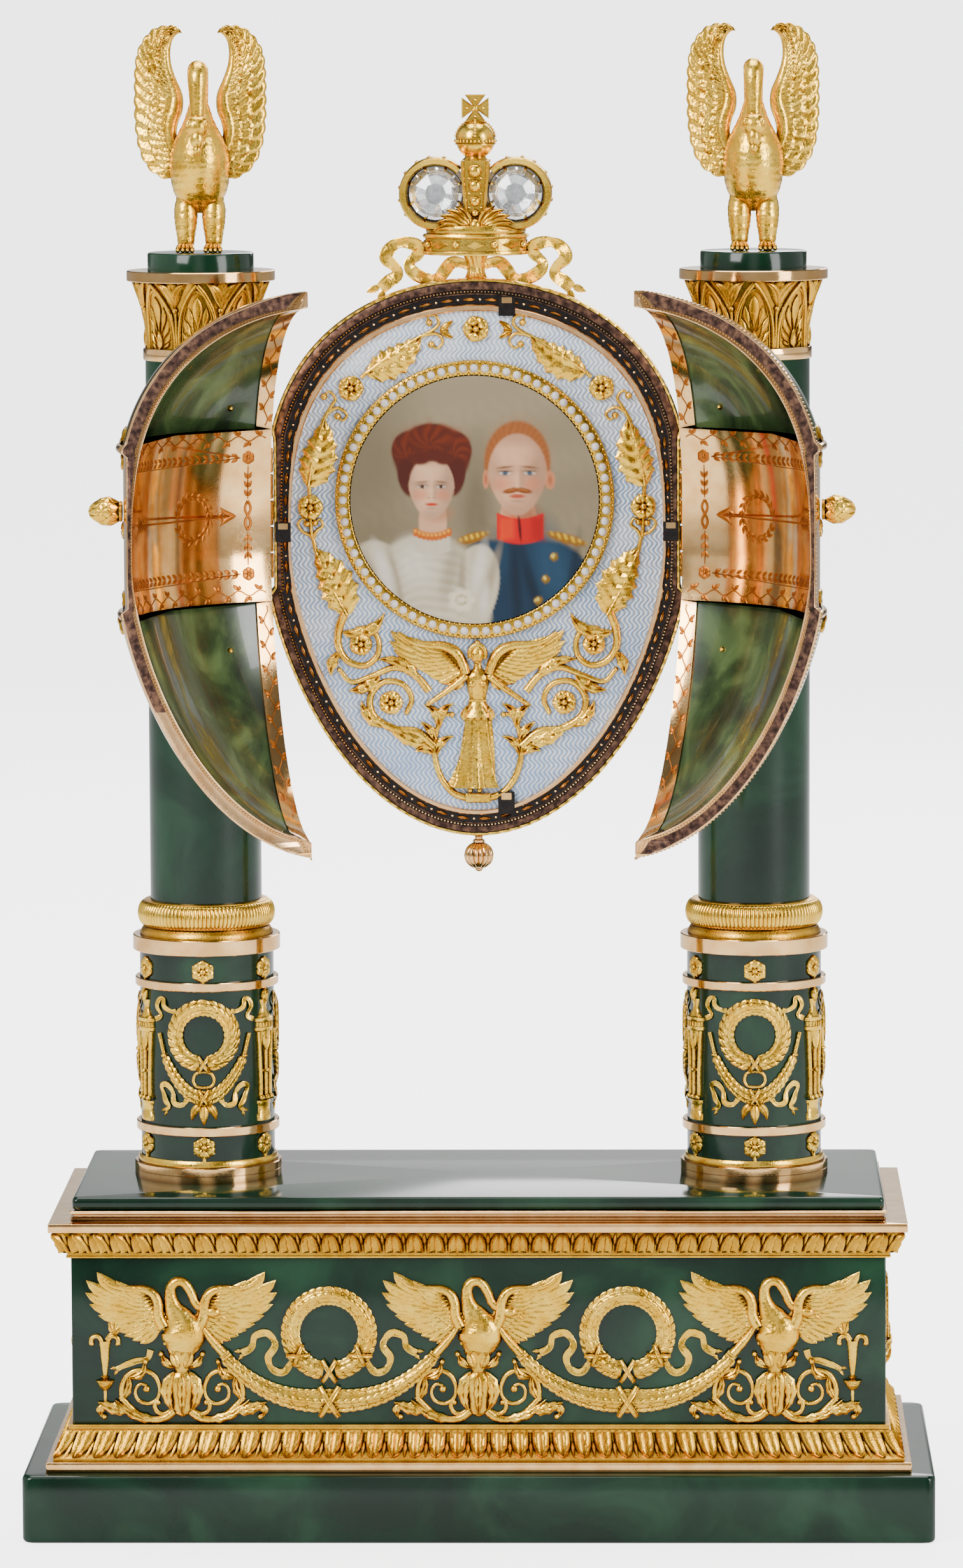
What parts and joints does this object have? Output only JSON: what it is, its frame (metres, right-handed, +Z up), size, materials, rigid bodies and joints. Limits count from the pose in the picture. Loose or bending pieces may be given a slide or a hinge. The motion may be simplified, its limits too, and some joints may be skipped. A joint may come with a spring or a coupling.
{
  "type": "jewelled egg on a two-column stand",
  "caption": "Jewelled nephrite egg with two hinged doors, crown and enamelled miniature inside, hung between columns topped by swans on a long gold-mounted plinth.",
  "frame": {"origin": "centre of the stand's underside, on the surface it stands on", "axes": "+Z up, -Y towards the front with the doors and the miniature, +X to the viewer's right"},
  "size_m": [0.176, 0.0949, 0.2912],
  "materials": {
    "nephrite": "polished dark green nephrite",
    "panel_nephrite": "polished translucent mottled nephrite",
    "yellow_gold": "chased and burnished yellow gold",
    "rose_gold": "polished rose gold",
    "dark_gold": "oxidised gold",
    "enamel": "translucent pale blue enamel over engine turning",
    "painting": "painted miniature, satin",
    "pearl": "lustrous half pearls in gold settings",
    "diamond": "clear faceted stone"
  },
  "bodies": {
    "stand_and_egg": {"foot_slab": "nephrite", "foot_fillet": "rose_gold", "lower_leaf_moulding": "yellow_gold", "plinth_block": "nephrite", "upper_leaf_moulding": "yellow_gold", "cornice_plate": "rose_gold", "table_fillet": "rose_gold", "table_slab": "nephrite", "plinth_swan_left": "yellow_gold", "plinth_swan_middle": "yellow_gold", "plinth_swan_right": "yellow_gold", "plinth_wreath_left": "yellow_gold", "plinth_wreath_right": "yellow_gold", "plinth_festoon_left": "yellow_gold", "plinth_festoon_right": "yellow_gold", "egg_body": "nephrite", "egg_rim": "dark_gold", "enamel_panel": "enamel", "miniature": "painting", "pearl_ring": "pearl", "garland_left": "yellow_gold", "garland_right": "yellow_gold", "winged_figure": "yellow_gold", "crown": "yellow_gold", "diamond_left": "diamond", "diamond_right": "diamond", "ribbon": "yellow_gold", "finial": "rose_gold", "arm_left": "rose_gold", "arm_right": "rose_gold", "pedestal_base_left": "rose_gold", "pedestal_drum_left": "nephrite", "lower_drum_ring_left": "rose_gold", "upper_drum_ring_left": "rose_gold", "pedestal_collar_left": "rose_gold", "gadrooned_base_left": "yellow_gold", "shaft_left": "nephrite", "capital_left": "yellow_gold", "abacus_left": "rose_gold", "swan_plinth_left": "nephrite", "swan_left": "yellow_gold", "pedestal_base_right": "rose_gold", "pedestal_drum_right": "nephrite", "lower_drum_ring_right": "rose_gold", "upper_drum_ring_right": "rose_gold", "pedestal_collar_right": "rose_gold", "gadrooned_base_right": "yellow_gold", "shaft_right": "nephrite", "capital_right": "yellow_gold", "abacus_right": "rose_gold", "swan_plinth_right": "nephrite", "swan_right": "yellow_gold"},
    "door_left": {"door_frame_left": "rose_gold", "door_upper_panel_left": "panel_nephrite", "door_lower_panel_left": "panel_nephrite", "door_bud_left": "yellow_gold"},
    "door_right": {"door_frame_right": "rose_gold", "door_upper_panel_right": "panel_nephrite", "door_lower_panel_right": "panel_nephrite", "door_bud_right": "yellow_gold"}
  },
  "joints": [
    {"name": "left_door_hinge", "type": "hinge", "parent": "stand_and_egg", "child": "door_left", "pos_m": [-0.0404, -0.01, 0.197], "axis": [0, 0, 1], "range_deg": [0, 76]},
    {"name": "right_door_hinge", "type": "hinge", "parent": "stand_and_egg", "child": "door_right", "pos_m": [0.0404, -0.01, 0.197], "axis": [0, 0, -1], "range_deg": [0, 76]}
  ]
}
